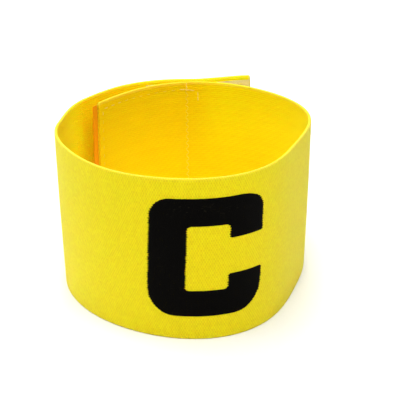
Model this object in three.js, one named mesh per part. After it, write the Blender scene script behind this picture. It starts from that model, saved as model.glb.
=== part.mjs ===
// Captain armband: a strip of elastic webbing wound once round into an oval loop, closed at the back by a
// hook patch and a loop patch, with a block letter C on the outside of the front.
// Millimetres, +Z up. The band stands on its lower edge, the letter faces -Y, and the origin is under the
// middle of its box.
import * as THREE from 'three';

// Band
const BAND_WIDTH = 65;
const BAND_THICKNESS = 1.2;
const BAND_CORNER = 1.5;

// Loop: the girth of the closed oval, the overlap that the flap covers, and where the inner end lies.
const GIRTH = 318;
const OVERLAP = 69.5;
const INNER_END_BEARING = 142;

// The oval is a circle with waves in its radius. Each wave has a number of lobes, a share of the mean radius,
// and the bearing that one of its lobes points to, in degrees from +X towards +Y.
const OVAL_WAVES = [
  { lobes: 2, share: 0.05, bearing: 65 },
  { lobes: 3, share: 0.03, bearing: 51 },
  { lobes: 4, share: 0.021, bearing: 13 },
  { lobes: 5, share: 0.006, bearing: 22 },
];

// Closure patches, sewn on the facing sides of the two layers
const LOOP_PATCH = { length: 46, width: 60, thickness: 0.6, inset: 0.8 };
const HOOK_PATCH = { length: 46, width: 61, thickness: 0.6, inset: 0.4 };
const PATCH_CORNER = 1;
const SEAT_GAP = 0.25;

// How far the outer layer stands off over the inner end and at the flap's tip, and how far the tip is lifted
const SLACK = 5.3;
const SPRING = 7.2;
const TIP_LIFT = 1.6;

// The outer layer's way out over the inner end and along the flap. `at` is a share of the overlap, counted
// from the inner end; `cover` is a share of the layers' pitch, and the others of SLACK, SPRING and TIP_LIFT.
const CLOSURE = [
  { at: -1.15, cover: 0, slack: 0, spring: 0, lift: 0 },
  { at: -0.75, cover: -0.15, slack: 0, spring: 0, lift: 0 },
  { at: -0.39, cover: 0.05, slack: 0, spring: 0, lift: 0 },
  { at: 0, cover: 1, slack: 0.78, spring: 0, lift: 0 },
  { at: 0.24, cover: 1, slack: 1, spring: 0, lift: 0 },
  { at: 0.42, cover: 1, slack: 0.75, spring: 0, lift: 0 },
  { at: 0.62, cover: 1, slack: 0.06, spring: 0, lift: 0.05 },
  { at: 0.7, cover: 1, slack: 0, spring: 0.02, lift: 0.15 },
  { at: 1, cover: 1, slack: 0, spring: 1, lift: 1 },
];

// Letter: a block C whose two jaws turn in towards each other
const LETTER_WIDTH = 43;
const LETTER_HEIGHT = 47.4;
const LETTER_SHIFT = 1.7;
const LETTER_RAISE = 1.2;
const LETTER_THICKNESS = 0.4;
const STEM_WIDTH = 13.8;
const ARM_HEIGHT = 10.7;
const JAW_WIDTH = 13.5;
const JAW_HEIGHT = 16.2;
const HEAD_CORNER = 6.5;
const FOOT_CORNER = 9;
const COUNTER_CORNER = 1.7;

// Facets: the longest step along the strip, the steps in a rounded corner and the samples of the oval
const STRIP_STEP = 3;
const CORNER_STEPS = 4;
const OVAL_SAMPLES = 720;

const LAYER_PITCH = BAND_THICKNESS + LOOP_PATCH.thickness + HOOK_PATCH.thickness + 3 * SEAT_GAP;

const WEBBING = new THREE.MeshStandardMaterial({ color: 0xf0da24, roughness: 0.8, metalness: 0 });
const LOOP_PILE = new THREE.MeshStandardMaterial({ color: 0xf2d65a, roughness: 1, metalness: 0 });
const HOOK_TAPE = new THREE.MeshStandardMaterial({ color: 0xeecb6b, roughness: 0.6, metalness: 0 });
const BLACK_INK = new THREE.MeshStandardMaterial({ color: 0x0a0908, roughness: 0.7, metalness: 0 });

/** The closed oval of the standing band's mid-plane, clockwise from the inner end as seen from above. */
function makeOval() {
  const start = THREE.MathUtils.degToRad(INNER_END_BEARING);
  const rim = [];
  for (let i = 0; i < OVAL_SAMPLES; i++) {
    const bearing = start - (i / OVAL_SAMPLES) * 2 * Math.PI;
    const reach = OVAL_WAVES.reduce(
      (sum, wave) => sum + wave.share * Math.cos(wave.lobes * (bearing - THREE.MathUtils.degToRad(wave.bearing))),
      1,
    );
    rim.push(new THREE.Vector3(reach * Math.cos(bearing), reach * Math.sin(bearing), 0));
  }
  const unit = closedCurve(rim);
  const scale = GIRTH / unit.getLength();
  return closedCurve(rim.map((point) => point.multiplyScalar(scale)));
}

function closedCurve(points) {
  const curve = new THREE.CatmullRomCurve3(points, true);
  curve.arcLengthDivisions = 2 * OVAL_SAMPLES;
  return curve;
}

/** Value of one column of the closure table at a share of the overlap, eased so that it never overshoots. */
function readClosure(column, at) {
  const rows = CLOSURE;
  if (at <= rows[0].at) return rows[0][column];
  const last = rows.length - 1;
  if (at >= rows[last].at) return rows[last][column];
  const k = rows.findIndex((row) => row.at > at) - 1;
  const slope = (i) => (rows[i + 1][column] - rows[i][column]) / (rows[i + 1].at - rows[i].at);
  const tangent = (i) => {
    if (i === 0) return 0;
    if (i === last) return slope(last - 1);
    const [before, after] = [slope(i - 1), slope(i)];
    return before * after > 0 ? (2 * before * after) / (before + after) : 0;
  };
  const span = rows[k + 1].at - rows[k].at;
  const t = (at - rows[k].at) / span;
  const [h00, h10] = [2 * t ** 3 - 3 * t ** 2 + 1, t ** 3 - 2 * t ** 2 + t];
  const [h01, h11] = [3 * t ** 2 - 2 * t ** 3, t ** 3 - t ** 2];
  return (
    h00 * rows[k][column] + h10 * span * tangent(k) + h01 * rows[k + 1][column] + h11 * span * tangent(k + 1)
  );
}

/** The strip's mid-plane at its lower edge, from the flap's tip round to the inner end. */
function windStrip() {
  const oval = makeOval();
  const reach = GIRTH + OVERLAP;
  const steps = Math.ceil(reach / STRIP_STEP);
  const line = [];
  for (let i = 0; i <= steps; i++) {
    const travel = reach * (1 - i / steps);
    const share = (travel / GIRTH) % 1;
    const foot = oval.getPointAt(share);
    const ahead = oval.getTangentAt(share);
    const at = (travel - GIRTH) / OVERLAP;
    const offset =
      LAYER_PITCH * readClosure('cover', at) +
      SLACK * readClosure('slack', at) +
      SPRING * readClosure('spring', at);
    const lift = TIP_LIFT * readClosure('lift', at);
    line.push(new THREE.Vector3(foot.x - ahead.y * offset, foot.y + ahead.x * offset, lift));
  }
  const strip = new THREE.CatmullRomCurve3(line);
  strip.arcLengthDivisions = OVAL_SAMPLES;
  return strip;
}

const STRIP = windStrip();
const STRIP_LENGTH = STRIP.getLength();

/** Point of the wound strip: `along` from the flap's tip, `up` from the lower edge, `out` from the mid-plane. */
function place(along, up, out) {
  const share = THREE.MathUtils.clamp(along / STRIP_LENGTH, 0, 1);
  const point = STRIP.getPointAt(share);
  const ahead = STRIP.getTangentAt(share);
  const level = Math.hypot(ahead.x, ahead.y);
  return new THREE.Vector3(
    point.x + (ahead.y / level) * out,
    point.y - (ahead.x / level) * out,
    point.z + up,
  );
}

/** Evenly spaced values from `from` to `to`, with steps no longer than `step`. */
function stations(from, to, step) {
  const count = Math.max(1, Math.ceil((to - from) / step));
  return Array.from({ length: count + 1 }, (_, i) => from + ((to - from) * i) / count);
}

/** Stations from `from` to `to` that follow a rounded corner of the given radius at each end. */
function roundedStations(from, to, headRadius, tailRadius, step) {
  const corner = (radius) =>
    Array.from({ length: CORNER_STEPS }, (_, i) => radius * (1 - Math.cos((i / CORNER_STEPS) * (Math.PI / 2))));
  return [
    ...corner(headRadius).map((inset) => from + inset),
    ...stations(from + headRadius, to - tailRadius, step),
    ...corner(tailRadius).map((inset) => to - inset).reverse(),
  ];
}

/** How far a rounded corner draws an edge in at a distance from the end. */
function roundOff(distance, radius) {
  return distance >= radius ? 0 : radius - Math.sqrt(radius ** 2 - (radius - distance) ** 2);
}

/** A flat region of quads between columns and rows; `bend` moves each grid point, `holds` keeps a cell. */
function gridRegion(columns, rows, bend = (x, y) => [x, y], holds = () => true) {
  const points = [];
  for (const x of columns) {
    for (const y of rows) points.push(bend(x, y));
  }
  const faces = [];
  const index = (i, j) => i * rows.length + j;
  for (let i = 0; i + 1 < columns.length; i++) {
    for (let j = 0; j + 1 < rows.length; j++) {
      if (!holds((columns[i] + columns[i + 1]) / 2, (rows[j] + rows[j + 1]) / 2)) continue;
      faces.push([index(i, j), index(i + 1, j), index(i + 1, j + 1)]);
      faces.push([index(i, j), index(i + 1, j + 1), index(i, j + 1)]);
    }
  }
  return { points, faces };
}

/** A closed solid on the wound strip: the region's faces inside and outside, and a wall along its border. */
function wrapRegion({ points, faces }, inner, outer) {
  const used = [...new Set(faces.flat())];
  const slot = new Map(used.map((point, i) => [point, i]));
  const vertices = [];
  for (const out of [inner, outer]) {
    for (const point of used) vertices.push(...place(...points[point], out).toArray());
  }
  const border = new Set(faces.flatMap(([a, b, c]) => [`${a} ${b}`, `${b} ${c}`, `${c} ${a}`]));
  const shift = used.length;
  const indices = [];
  for (const face of faces) {
    const [a, b, c] = face.map((point) => slot.get(point));
    indices.push(a + shift, b + shift, c + shift, c, b, a);
  }
  for (const edge of border) {
    const [from, to] = edge.split(' ').map(Number);
    if (border.has(`${to} ${from}`)) continue;
    const [a, b] = [slot.get(from), slot.get(to)];
    indices.push(a, b, b + shift, a, b + shift, a + shift);
  }
  const geometry = new THREE.BufferGeometry();
  geometry.setAttribute('position', new THREE.Float32BufferAttribute(vertices, 3));
  geometry.setIndex(indices);
  geometry.computeVertexNormals();
  return geometry;
}

/** A rectangle on the strip with rounded corners. */
function panelRegion(from, to, low, high, corner) {
  const middle = (low + high) / 2;
  return gridRegion(roundedStations(from, to, corner, corner, STRIP_STEP), [low, middle, high], (x, y) => {
    const drawn = roundOff(Math.min(x - from, to - x), corner);
    return [x, y + Math.sign(middle - y) * drawn];
  });
}

/** The webbing strip, from the flap's tip to the inner end. */
function makeBand() {
  const region = panelRegion(0, STRIP_LENGTH, 0, BAND_WIDTH, BAND_CORNER);
  return wrapRegion(region, -BAND_THICKNESS / 2, BAND_THICKNESS / 2);
}

/** The soft patch on the outer face of the inner end. */
function makeLoopPatch() {
  const to = STRIP_LENGTH - LOOP_PATCH.inset;
  const low = (BAND_WIDTH - LOOP_PATCH.width) / 2;
  const region = panelRegion(to - LOOP_PATCH.length, to, low, low + LOOP_PATCH.width, PATCH_CORNER);
  const seat = BAND_THICKNESS / 2 + SEAT_GAP;
  return wrapRegion(region, seat, seat + LOOP_PATCH.thickness);
}

/** The hooked patch on the inner face of the flap's tip. */
function makeHookPatch() {
  const from = HOOK_PATCH.inset;
  const low = (BAND_WIDTH - HOOK_PATCH.width) / 2;
  const region = panelRegion(from, from + HOOK_PATCH.length, low, low + HOOK_PATCH.width, PATCH_CORNER);
  const seat = BAND_THICKNESS / 2 + SEAT_GAP;
  return wrapRegion(region, -seat - HOOK_PATCH.thickness, -seat);
}

/** The letter on the outer face, at the middle of the strip. */
function makeLetter() {
  const centre = { along: STRIP_LENGTH / 2 + LETTER_SHIFT, up: BAND_WIDTH / 2 + LETTER_RAISE };
  const [right, top] = [LETTER_WIDTH / 2, LETTER_HEIGHT / 2];
  const stemEdge = STEM_WIDTH - right;
  const jawEdge = right - JAW_WIDTH;
  const corner = Math.max(HEAD_CORNER, FOOT_CORNER);
  const columns = [
    ...roundedStations(-right, stemEdge, corner, 0, STRIP_STEP),
    ...roundedStations(stemEdge, jawEdge, COUNTER_CORNER, COUNTER_CORNER, STRIP_STEP).slice(1),
    ...roundedStations(jawEdge, right, 0, corner, STRIP_STEP).slice(1),
  ];
  const rows = [-top, ARM_HEIGHT - top, JAW_HEIGHT - top, top - JAW_HEIGHT, top - ARM_HEIGHT, top];
  const holds = (x, y) => {
    if (x < stemEdge || Math.abs(y) > top - ARM_HEIGHT) return true;
    return x > jawEdge && Math.abs(y) > top - JAW_HEIGHT;
  };
  const bend = (x, y) => {
    const fromSide = right - Math.abs(x);
    const inCounter = Math.min(x - stemEdge, jawEdge - x);
    let edge = y;
    if (y === top) edge -= roundOff(fromSide, HEAD_CORNER);
    if (y === -top) edge += roundOff(fromSide, FOOT_CORNER);
    if (inCounter >= 0 && Math.abs(y) === top - ARM_HEIGHT) edge -= Math.sign(y) * roundOff(inCounter, COUNTER_CORNER);
    return [centre.along + x, centre.up + edge];
  };
  const seat = BAND_THICKNESS / 2 + SEAT_GAP;
  return wrapRegion(gridRegion(columns, rows, bend, holds), seat, seat + LETTER_THICKNESS);
}

const pieces = [
  { name: 'band', geometry: makeBand(), material: WEBBING },
  { name: 'loop_patch', geometry: makeLoopPatch(), material: LOOP_PILE },
  { name: 'hook_patch', geometry: makeHookPatch(), material: HOOK_TAPE },
  { name: 'letter_c', geometry: makeLetter(), material: BLACK_INK },
];

const armband = new THREE.Group();
armband.name = 'captain_armband';
for (const { name, geometry, material } of pieces) {
  const mesh = new THREE.Mesh(geometry, material);
  mesh.name = name;
  armband.add(mesh);
}
const box = new THREE.Box3().setFromObject(armband);
const middle = box.getCenter(new THREE.Vector3());
armband.position.set(-middle.x, -middle.y, -box.min.z);

export default armband;
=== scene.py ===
"""Captain armband, dressed for the camera.

Everything is made flat first, as in the workshop: the webbing is cut to length, the letter is printed, the
closure's two tapes get their hooks and their pile, and the tapes are sewn down. A flat piece is laid out with
x along the strip from the flap's tip, y up from the lower edge, and z out from the webbing's mid-plane. It is
then wound once round into the standing oval loop, and each point keeps its flat place as an attribute that the
weave follows.
"""

from __future__ import annotations

import logging
import math
from contextlib import contextmanager
from dataclasses import dataclass, field
from enum import Enum
from typing import Any, Callable, Iterator, NamedTuple, Sequence

import bmesh
import bpy
import numpy as np
from mathutils import Matrix, Vector

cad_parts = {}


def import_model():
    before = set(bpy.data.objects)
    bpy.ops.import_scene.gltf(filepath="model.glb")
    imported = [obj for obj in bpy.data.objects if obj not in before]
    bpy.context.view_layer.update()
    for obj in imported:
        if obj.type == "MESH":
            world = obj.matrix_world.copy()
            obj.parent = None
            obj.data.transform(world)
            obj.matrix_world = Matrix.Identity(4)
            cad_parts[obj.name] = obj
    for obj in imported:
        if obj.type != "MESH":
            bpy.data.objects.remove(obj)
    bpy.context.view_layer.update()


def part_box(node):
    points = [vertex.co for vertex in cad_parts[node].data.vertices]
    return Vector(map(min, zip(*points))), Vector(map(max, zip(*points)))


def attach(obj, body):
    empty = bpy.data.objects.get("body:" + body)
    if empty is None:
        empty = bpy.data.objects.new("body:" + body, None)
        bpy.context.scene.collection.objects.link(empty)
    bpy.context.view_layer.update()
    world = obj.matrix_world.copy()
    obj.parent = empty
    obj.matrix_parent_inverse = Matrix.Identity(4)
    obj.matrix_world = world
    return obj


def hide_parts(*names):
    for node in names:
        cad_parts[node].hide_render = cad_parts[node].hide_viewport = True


MM = 0.001
STRIP = "strip"
LOG = logging.getLogger("captain_armband")

Piece = bpy.types.Object
Socket = bpy.types.NodeSocket


class Face(Enum):
    """The two faces of the webbing, as the sign of their way out from the mid-plane."""

    OUTER = 1
    INNER = -1


def srgb(red: float, green: float, blue: float) -> tuple[float, float, float, float]:
    """Turn a display colour into the linear one that shaders use.

    Args:
        red: Red, from 0 to 255.
        green: Green, from 0 to 255.
        blue: Blue, from 0 to 255.

    Returns:
        Linear red, green, blue and a full alpha.
    """

    def linear(value: float) -> float:
        share = value / 255
        return share / 12.92 if share <= 0.04045 else ((share + 0.055) / 1.055) ** 2.4

    return (linear(red), linear(green), linear(blue), 1.0)


class Bench:
    """Blender's modelling operators as they are used by hand, with the selection made in code."""

    @staticmethod
    def clear() -> None:
        """Deselect every object."""
        bpy.ops.object.select_all(action="DESELECT")

    @staticmethod
    def take(piece: Piece) -> None:
        """Make a piece the active one and the only one selected."""
        Bench.clear()
        piece.select_set(True)
        bpy.context.view_layer.objects.active = piece

    @staticmethod
    def added(name: str) -> Piece:
        """Name the primitive that was just added, and put its place into its mesh.

        Args:
            name: The piece's name.

        Returns:
            The piece, with its object at the origin.
        """
        piece = bpy.context.object
        piece.name = name
        piece.data.name = name
        Bench.take(piece)
        bpy.ops.object.transform_apply(location=True, rotation=True, scale=True)
        return piece

    @staticmethod
    @contextmanager
    def editing(piece: Piece, kind: str = "VERT") -> Iterator[None]:
        """Work on a piece in edit mode, with everything selected.

        Args:
            piece: The piece to work on.
            kind: What is selected: VERT, EDGE or FACE.

        Yields:
            Nothing; the mode ends with the block.
        """
        Bench.take(piece)
        bpy.ops.object.mode_set(mode="EDIT")
        bpy.ops.mesh.select_mode(type=kind)
        bpy.ops.mesh.select_all(action="SELECT")
        try:
            yield
        finally:
            bpy.ops.object.mode_set(mode="OBJECT")

    @staticmethod
    def pick_points(piece: Piece, test: Callable[[Vector], bool]) -> None:
        """Select only the vertices whose place passes a test, in edit mode."""
        mesh = bmesh.from_edit_mesh(piece.data)
        for vertex in mesh.verts:
            vertex.select_set(test(vertex.co))
        mesh.select_flush_mode()
        bmesh.update_edit_mesh(piece.data)

    @staticmethod
    def pick_faces(piece: Piece, test: Callable[[Vector], bool]) -> None:
        """Select only the faces whose middle passes a test, in edit mode."""
        mesh = bmesh.from_edit_mesh(piece.data)
        for face in mesh.faces:
            face.select_set(test(face.calc_center_median()))
        bmesh.update_edit_mesh(piece.data)

    @staticmethod
    def modify(piece: Piece, kind: str, **settings: Any) -> None:
        """Add a modifier, set it and apply it.

        Args:
            piece: The piece to change.
            kind: The modifier's kind, as Blender names it.
            **settings: The modifier's own settings.
        """
        Bench.take(piece)
        bpy.ops.object.modifier_add(type=kind)
        modifier = piece.modifiers[-1]
        for name, value in settings.items():
            setattr(modifier, name, value)
        bpy.ops.object.modifier_apply(modifier=modifier.name)

    @staticmethod
    def smooth(piece: Piece, angle: float = math.radians(50)) -> None:
        """Shade a piece smooth but for edges sharper than an angle."""
        Bench.take(piece)
        bpy.ops.object.shade_smooth_by_angle(angle=angle)

    @staticmethod
    def face_outwards(piece: Piece) -> None:
        """Merge doubles and turn every face outwards."""
        with Bench.editing(piece, "FACE"):
            bpy.ops.mesh.remove_doubles(threshold=0.002 * MM)
            bpy.ops.mesh.normals_make_consistent(inside=False)

    @staticmethod
    def join(name: str, pieces: Sequence[Piece]) -> Piece:
        """Join pieces into the first one, and name it."""
        Bench.clear()
        for piece in pieces:
            piece.select_set(True)
        bpy.context.view_layer.objects.active = pieces[0]
        bpy.ops.object.join()
        pieces[0].name = name
        pieces[0].data.name = name
        return pieces[0]


def points_of(piece: Piece) -> np.ndarray:
    """Read a piece's vertices as rows of x, y and z."""
    points = np.empty(len(piece.data.vertices) * 3)
    piece.data.vertices.foreach_get("co", points)
    return points.reshape(-1, 3)


def set_points(piece: Piece, points: np.ndarray) -> None:
    """Write a piece's vertices from rows of x, y and z."""
    piece.data.vertices.foreach_set("co", points.ravel())
    piece.data.update()


def flat_grid(name: str, columns: np.ndarray, rows: np.ndarray) -> Piece:
    """Lay out a flat grid with its lines at given places.

    Args:
        name: The piece's name.
        columns: Places of the lines along the strip.
        rows: Places of the lines up the strip.

    Returns:
        The grid, in the plane z = 0.
    """
    bpy.ops.mesh.primitive_grid_add(x_subdivisions=len(columns) - 1, y_subdivisions=len(rows) - 1, size=1)
    grid = Bench.added(name)
    points = points_of(grid)
    steps = np.rint((points[:, :2] + 0.5) * [len(columns) - 1, len(rows) - 1]).astype(int)
    points[:, 0] = columns[steps[:, 0]]
    points[:, 1] = rows[steps[:, 1]]
    set_points(grid, points)
    return grid


def graded(start: float, end: float, features: Sequence[float], fine: float, step: float) -> np.ndarray:
    """Space stations closely near some features and widely between them.

    Args:
        start: The first station.
        end: The last station.
        features: Places that need close stations.
        fine: The step at a feature.
        step: The longest step.

    Returns:
        The stations, from start to end.
    """
    found = [start]
    while found[-1] < end:
        away = min(abs(found[-1] - place) for place in features)
        found.append(found[-1] + min(step, max(fine, (away - 2 * fine) * 0.5)))
    stations = np.array(found)
    return start + (stations - start) * (end - start) / (stations[-1] - start)


def round_off(distance: np.ndarray, radius: float) -> np.ndarray:
    """How far a rounded corner draws an edge in, at distances from the end."""
    gap = np.clip(radius - distance, 0, radius)
    return radius - np.sqrt(radius**2 - gap**2)


def bell(distance: np.ndarray, reach: float) -> np.ndarray:
    """A soft bump of height 1 that fades over a reach."""
    return np.exp(-((distance / reach) ** 2))


class Ease(NamedTuple):
    """Where a mask leaves 0 and where it reaches 1. It falls where `start` is the greater."""

    start: float
    full: float


class Sides(NamedTuple):
    """A value for the webbing's inner face and one for its outer face."""

    inner: float
    outer: float


class Wave(NamedTuple):
    """One wave in the oval's radius: its lobes, its share of the mean radius and the bearing of a lobe."""

    lobes: int
    share: float
    bearing: float


class ClosureRow(NamedTuple):
    """One row of the closure's table: `at` is a share of the overlap, counted from the inner end."""

    at: float
    cover: float
    slack: float
    spring: float
    lift: float


class LeanRow(NamedTuple):
    """How far the cloth's foot and head lean outwards at one bearing round the loop, in millimetres."""

    bearing: float
    foot: float
    head: float


@dataclass
class Winding:
    """The way that the strip is wound: from flat places to places on the standing loop."""

    width: float = 65 * MM
    thickness: float = 1.2 * MM
    girth: float = 318 * MM
    overlap: float = 69.5 * MM
    inner_end_bearing: float = 142.0
    layer_pitch: float = 3.15 * MM
    slack: float = 5.3 * MM
    spring: float = 7.2 * MM
    tip_lift: float = 1.6 * MM
    belly: float = 0.2 * MM
    gathered: float = 0.6 * MM
    skewed: float = 1.6 * MM
    tip_reach: float = 0.3 * MM
    end_reach: float = 22 * MM
    waves: tuple[Wave, ...] = (
        Wave(2, 0.05, 65),
        Wave(3, 0.03, 51),
        Wave(4, 0.021, 13),
        Wave(5, 0.006, 22),
    )
    closure: tuple[ClosureRow, ...] = (
        ClosureRow(-1.15, 0, 0, 0, 0),
        ClosureRow(-0.75, -0.15, 0, 0, 0),
        ClosureRow(-0.39, 0.05, 0, 0, 0),
        ClosureRow(0, 1, 0.78, 0, 0),
        ClosureRow(0.24, 1, 1, 0, 0),
        ClosureRow(0.42, 1, 0.75, 0, 0),
        ClosureRow(0.62, 1, 0.2, 0, 0.05),
        ClosureRow(0.71, 1, 0.03, 0, 0.12),
        ClosureRow(0.82, 1, 0, 0.2, 0.4),
        ClosureRow(1, 1, 0, 1, 1),
    )
    lean: tuple[LeanRow, ...] = (
        LeanRow(0, 0, 0.6),
        LeanRow(30, -0.2, -0.2),
        LeanRow(60, 0.1, 1.0),
        LeanRow(90, 0.1, 1.8),
        LeanRow(120, 0.1, 0.5),
        LeanRow(150, -0.2, 0.2),
        LeanRow(180, -0.3, 0.5),
        LeanRow(210, 0.4, 0.1),
        LeanRow(240, 0.3, 0.8),
        LeanRow(270, 0.3, -0.5),
        LeanRow(300, 0.7, 0),
        LeanRow(330, 0.4, 0),
    )
    samples: int = 2880
    route: np.ndarray = field(init=False)
    ahead: np.ndarray = field(init=False)
    travel: np.ndarray = field(init=False)
    along: np.ndarray = field(init=False)
    shift: np.ndarray = field(init=False)

    def __post_init__(self) -> None:
        """Work out the strip's route, and move it to where the frame's band stands."""
        self.travel = np.linspace(self.girth + self.overlap, 0, self.samples)
        foot, outward = self._oval(self.travel % self.girth)
        at = (self.travel - self.girth) / self.overlap
        offset = (
            self.layer_pitch * self._closure("cover", at)
            + self.slack * self._closure("slack", at)
            + self.spring * self._closure("spring", at)
        )
        lift = self.tip_lift * self._closure("lift", at)
        self.route = np.column_stack([foot + outward * offset[:, None], lift])
        steps = np.linalg.norm(np.diff(self.route, axis=0), axis=1)
        self.along = np.concatenate([[0.0], np.cumsum(steps)])
        ahead = np.gradient(self.route[:, :2], self.along, axis=0)
        self.ahead = ahead / np.linalg.norm(ahead, axis=1)[:, None]
        self.shift = self._to_frame()

    @property
    def length(self) -> float:
        """The strip's length, from the flap's tip to the inner end."""
        return float(self.along[-1])

    def _oval(self, travel: np.ndarray) -> tuple[np.ndarray, np.ndarray]:
        """Follow the closed oval clockwise from the inner end.

        Args:
            travel: Ways along the oval.

        Returns:
            The points there and the outward directions.
        """
        bearing = math.radians(self.inner_end_bearing) - np.linspace(0, 2 * math.pi, self.samples)
        reach = 1 + sum(
            wave.share * np.cos(wave.lobes * (bearing - math.radians(wave.bearing))) for wave in self.waves
        )
        rim = np.column_stack([reach * np.cos(bearing), reach * np.sin(bearing)])
        way = np.concatenate([[0.0], np.cumsum(np.linalg.norm(np.diff(rim, axis=0), axis=1))])
        rim *= self.girth / way[-1]
        way *= self.girth / way[-1]
        point = np.column_stack([np.interp(travel, way, rim[:, k]) for k in range(2)])
        slope = np.gradient(rim[:-1], axis=0)
        slope[[0, -1]] = (rim[1] - rim[-2], rim[0] - rim[-3])
        slope = np.vstack([slope, slope[:1]])
        slope = np.column_stack([np.interp(travel, way, slope[:, k]) for k in range(2)])
        slope /= np.linalg.norm(slope, axis=1)[:, None]
        return point, np.column_stack([-slope[:, 1], slope[:, 0]])

    def _closure(self, column: str, at: np.ndarray) -> np.ndarray:
        """Read one column of the closure's table, eased so that it never overshoots.

        Args:
            column: The column's name.
            at: Shares of the overlap.

        Returns:
            The column's values there.
        """
        places = np.array([row.at for row in self.closure])
        values = np.array([getattr(row, column) for row in self.closure], float)
        slope = np.diff(values) / np.diff(places)
        before, after = slope[:-1], slope[1:]
        same = before * after > 0
        total = np.where(same, before + after, 1)
        tangent = np.concatenate([[0.0], np.where(same, 2 * before * after / total, 0), slope[-1:]])
        row = np.clip(np.searchsorted(places, at, side="right") - 1, 0, len(places) - 2)
        span = places[row + 1] - places[row]
        t = np.clip((at - places[row]) / span, 0, 1)
        return (
            (2 * t**3 - 3 * t**2 + 1) * values[row]
            + (t**3 - 2 * t**2 + t) * span * tangent[row]
            + (3 * t**2 - 2 * t**3) * values[row + 1]
            + (t**3 - t**2) * span * tangent[row + 1]
        )

    def _line(self, up: float, out: float) -> np.ndarray:
        """Flat places all along the strip, at one height and one way out."""
        return np.column_stack([self.along, np.full(self.samples, up), np.full(self.samples, out)])

    def _to_frame(self) -> np.ndarray:
        """Find the move that puts the wound webbing where the frame's band stands."""
        half = self.thickness / 2
        own = np.vstack([self._wound(self._line(up, out)) for up in (0, self.width) for out in (-half, half)])
        low, high = (np.array(corner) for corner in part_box("band"))
        shift = (low + high) / 2 - (own.min(0) + own.max(0)) / 2
        shift[2] = low[2] - own[:, 2].min()
        differs = np.round((np.ptp(own, 0) - (high - low)) / MM, 3)
        LOG.info("band's box differs from the frame's by %s mm", differs)
        return shift

    def _wound(self, flat: np.ndarray) -> np.ndarray:
        """Bend flat places onto the route, without the move to the frame."""
        held = np.clip(flat[:, 0], 0, self.length)
        past = flat[:, 0] - held
        point = np.column_stack([np.interp(held, self.along, self.route[:, k]) for k in range(3)])
        ahead = np.column_stack([np.interp(held, self.along, self.ahead[:, k]) for k in range(2)])
        ahead /= np.linalg.norm(ahead, axis=1)[:, None]
        out = flat[:, 2]
        point[:, 0] += ahead[:, 1] * out + ahead[:, 0] * past
        point[:, 1] += -ahead[:, 0] * out + ahead[:, 1] * past
        point[:, 2] += flat[:, 1]
        return point

    def _leaned(self, column: str, turn: np.ndarray) -> np.ndarray:
        """Read one column of the lean table smoothly round the loop.

        Args:
            column: The column's name.
            turn: Bearings, in radians.

        Returns:
            The lean there.
        """
        rows = np.array([getattr(row, column) for row in self.lean]) * MM
        waves = np.fft.rfft(rows) / len(rows)
        waves[1:-1] *= 2
        lobes = np.arange(len(waves))
        return (waves * np.exp(1j * np.outer(turn, lobes))).real.sum(1)

    def _settled(self, flat: np.ndarray) -> np.ndarray:
        """Lean the cloth out of its even winding, alike in both layers, and draw its ends out of true."""
        way = np.interp(flat[:, 0], self.along, self.travel) * 2 * math.pi / self.girth
        turn = math.radians(self.inner_end_bearing) - way
        tall = np.clip(flat[:, 1] / self.width, 0, 1)
        settled = flat.copy()
        settled[:, 2] += self._leaned("foot", turn) * (1 - tall) + self._leaned("head", turn) * tall
        settled[:, 2] += self.belly * np.sin(math.pi * tall)
        near_end = np.clip(1 - (self.length - flat[:, 0]) / self.end_reach, 0, 1) ** 2
        near_tip = np.clip(1 - flat[:, 0] / self.end_reach, 0, 1) ** 2
        settled[:, 0] += self.skewed * near_end * (1 - tall) - self.tip_reach * near_tip
        settled[:, 1] -= self.gathered * near_end * tall
        return settled

    def wind(self, piece: Piece) -> Piece:
        """Wind a flat piece, and keep its flat places as an attribute.

        Args:
            piece: The flat piece.

        Returns:
            The same piece, on the standing loop.
        """
        flat = points_of(piece)
        kept = piece.data.attributes.new(STRIP, "FLOAT_VECTOR", "POINT")
        kept.data.foreach_set("vector", flat.astype(np.float32).ravel())
        set_points(piece, self._wound(self._settled(flat)) + self.shift)
        return piece


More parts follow.
